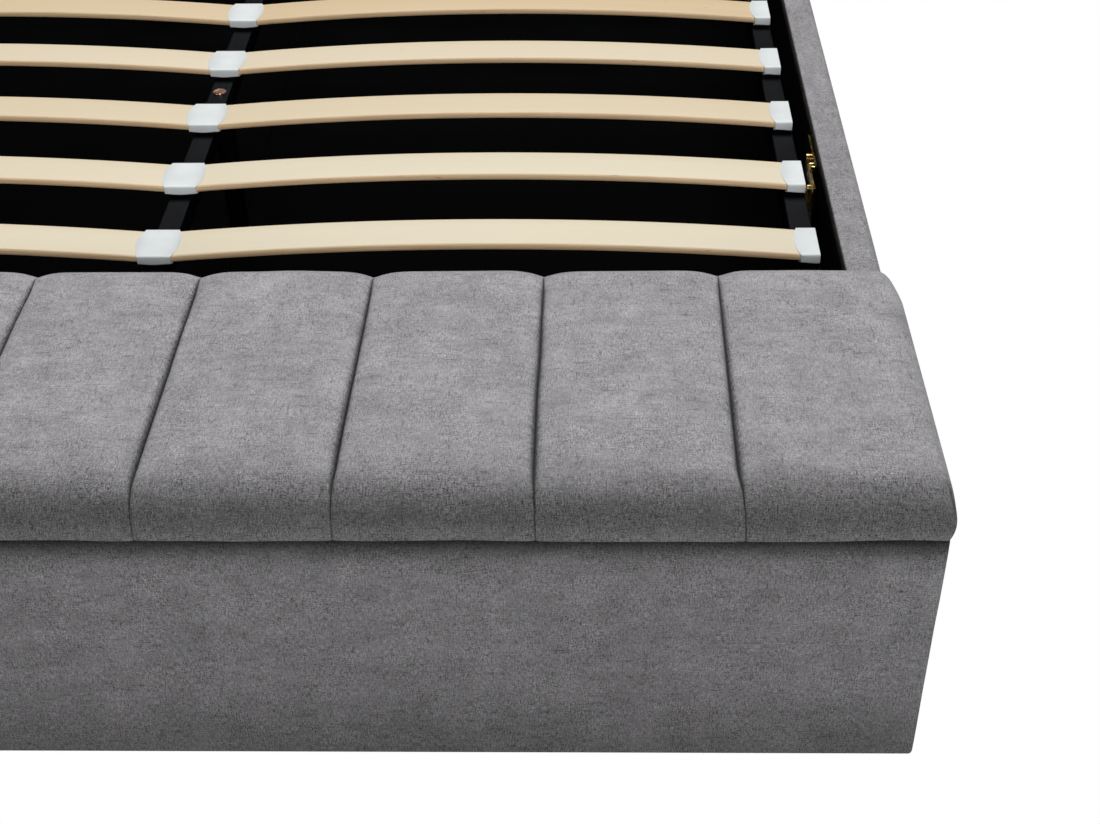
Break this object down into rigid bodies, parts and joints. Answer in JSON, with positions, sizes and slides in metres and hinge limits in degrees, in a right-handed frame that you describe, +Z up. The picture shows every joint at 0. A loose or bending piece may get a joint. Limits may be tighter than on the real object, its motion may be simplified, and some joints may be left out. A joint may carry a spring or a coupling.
{
  "type": "storage bed",
  "caption": "Upholstered bed frame with a padded chest at the foot end and a slatted deck that lifts over a lined storage space",
  "frame": {"origin": "centre of the bed's box on the floor", "axes": "+Z up, +Y from the foot end chest to the headboard, +X to the right seen from the foot end"},
  "size_m": [1.512, 2.46, 1.1],
  "materials": {
    "chenille": "woven chenille, soft mottled sheen",
    "board": "raw chipboard",
    "floor_panel": "black laminated hardboard",
    "lining": "black non-woven lining",
    "black_steel": "matt black powder coat",
    "yellow_zinc": "yellow passivated zinc",
    "bright_zinc": "bright zinc",
    "copper_bolt": "bronzed steel",
    "birch": "clear lacquered birch plywood",
    "white_plastic": "moulded white plastic",
    "black_plastic": "moulded black plastic"
  },
  "bodies": {
    "base": {"chest_front_board": "board", "chest_front_cover": "chenille", "chest_left_board": "board", "chest_right_board": "board", "chest_left_cover": "chenille", "chest_right_cover": "chenille", "chest_back_board": "board", "chest_floor_board": "floor_panel", "side_rail_left_board": "board", "side_rail_right_board": "board", "side_rail_left_cover": "chenille", "side_rail_right_cover": "chenille", "side_rail_left_lining": "lining", "side_rail_right_lining": "lining", "headboard_board": "board", "headboard_pad": "chenille", "headboard_back_cover": "chenille", "storage_floor_left": "floor_panel", "storage_floor_right": "floor_panel", "floor_battens": "board", "corner_brackets": "bright_zinc", "corner_bolts": "black_steel", "glides": "black_plastic", "deck_rest_brackets": "yellow_zinc", "deck_rest_bolts": "yellow_zinc", "base_hinge_leaves": "bright_zinc", "lid_hinge_pins": "bright_zinc", "lift_base_plate_left": "yellow_zinc", "lift_base_plate_right": "yellow_zinc", "lift_base_pins": "bright_zinc", "lift_base_bolts": "bright_zinc"},
    "lid": {"lid_board": "board", "lid_pad": "chenille", "lid_lining": "lining", "lid_hinge_leaves": "bright_zinc", "lid_hinge_screws": "bright_zinc"},
    "deck": {"deck_side_tube_left": "black_steel", "deck_side_tube_right": "black_steel", "deck_centre_tube": "black_steel", "deck_foot_tube": "black_steel", "deck_head_tube": "black_steel", "tube_plugs": "black_plastic", "slats_left": "birch", "slats_right": "birch", "centre_caps": "white_plastic", "side_caps_left": "white_plastic", "side_caps_right": "white_plastic", "centre_legs": "black_steel", "leg_glides": "black_plastic", "leg_bolts": "copper_bolt", "lift_upper_bracket_left": "yellow_zinc", "lift_upper_bracket_right": "yellow_zinc", "lift_upper_pins": "bright_zinc"},
    "rear_links": {"rear_links": "yellow_zinc"},
    "front_links": {"front_links": "yellow_zinc"},
    "strut_cylinders": {"strut_cylinders": "black_steel"},
    "strut_rods": {"strut_rods": "bright_zinc"}
  },
  "joints": [
    {"name": "lid_hinge", "type": "hinge", "parent": "base", "child": "lid", "pos_m": [0, -0.8685, 0.26], "axis": [-1, 0, 0], "range_deg": [0, 85]},
    {"name": "rear_link_swing", "type": "hinge", "parent": "base", "child": "rear_links", "pos_m": [0, 0.63514, 0.06], "axis": [1, 0, 0], "range_deg": [0, 35.14]},
    {"name": "deck_lift", "type": "hinge", "parent": "rear_links", "child": "deck", "pos_m": [0, 0.862, 0.175], "axis": [-1, 0, 0], "range_deg": [0, 70.09]},
    {"name": "front_link_swing", "type": "hinge", "parent": "base", "child": "front_links", "pos_m": [0, 0.42151, 0.065], "axis": [1, 0, 0], "range_deg": [0, 27.84]},
    {"name": "strut_swing", "type": "hinge", "parent": "base", "child": "strut_cylinders", "pos_m": [0, 0.657, 0.045], "axis": [1, 0, 0], "range_deg": [0, 34.82]},
    {"name": "strut_slide", "type": "slide", "parent": "strut_cylinders", "child": "strut_rods", "axis": [0, 0.7809, 0.6247], "range_m": [0, 0.05238]}
  ],
  "couplings": [
    {"joint": "rear_link_swing", "follows": "deck_lift", "ratio": 0.50066},
    {"joint": "front_link_swing", "follows": "deck_lift", "ratio": 0.39654},
    {"joint": "strut_swing", "follows": "deck_lift", "ratio": 0.49611},
    {"joint": "strut_slide", "follows": "deck_lift", "m_per_rad": 0.042737}
  ]
}
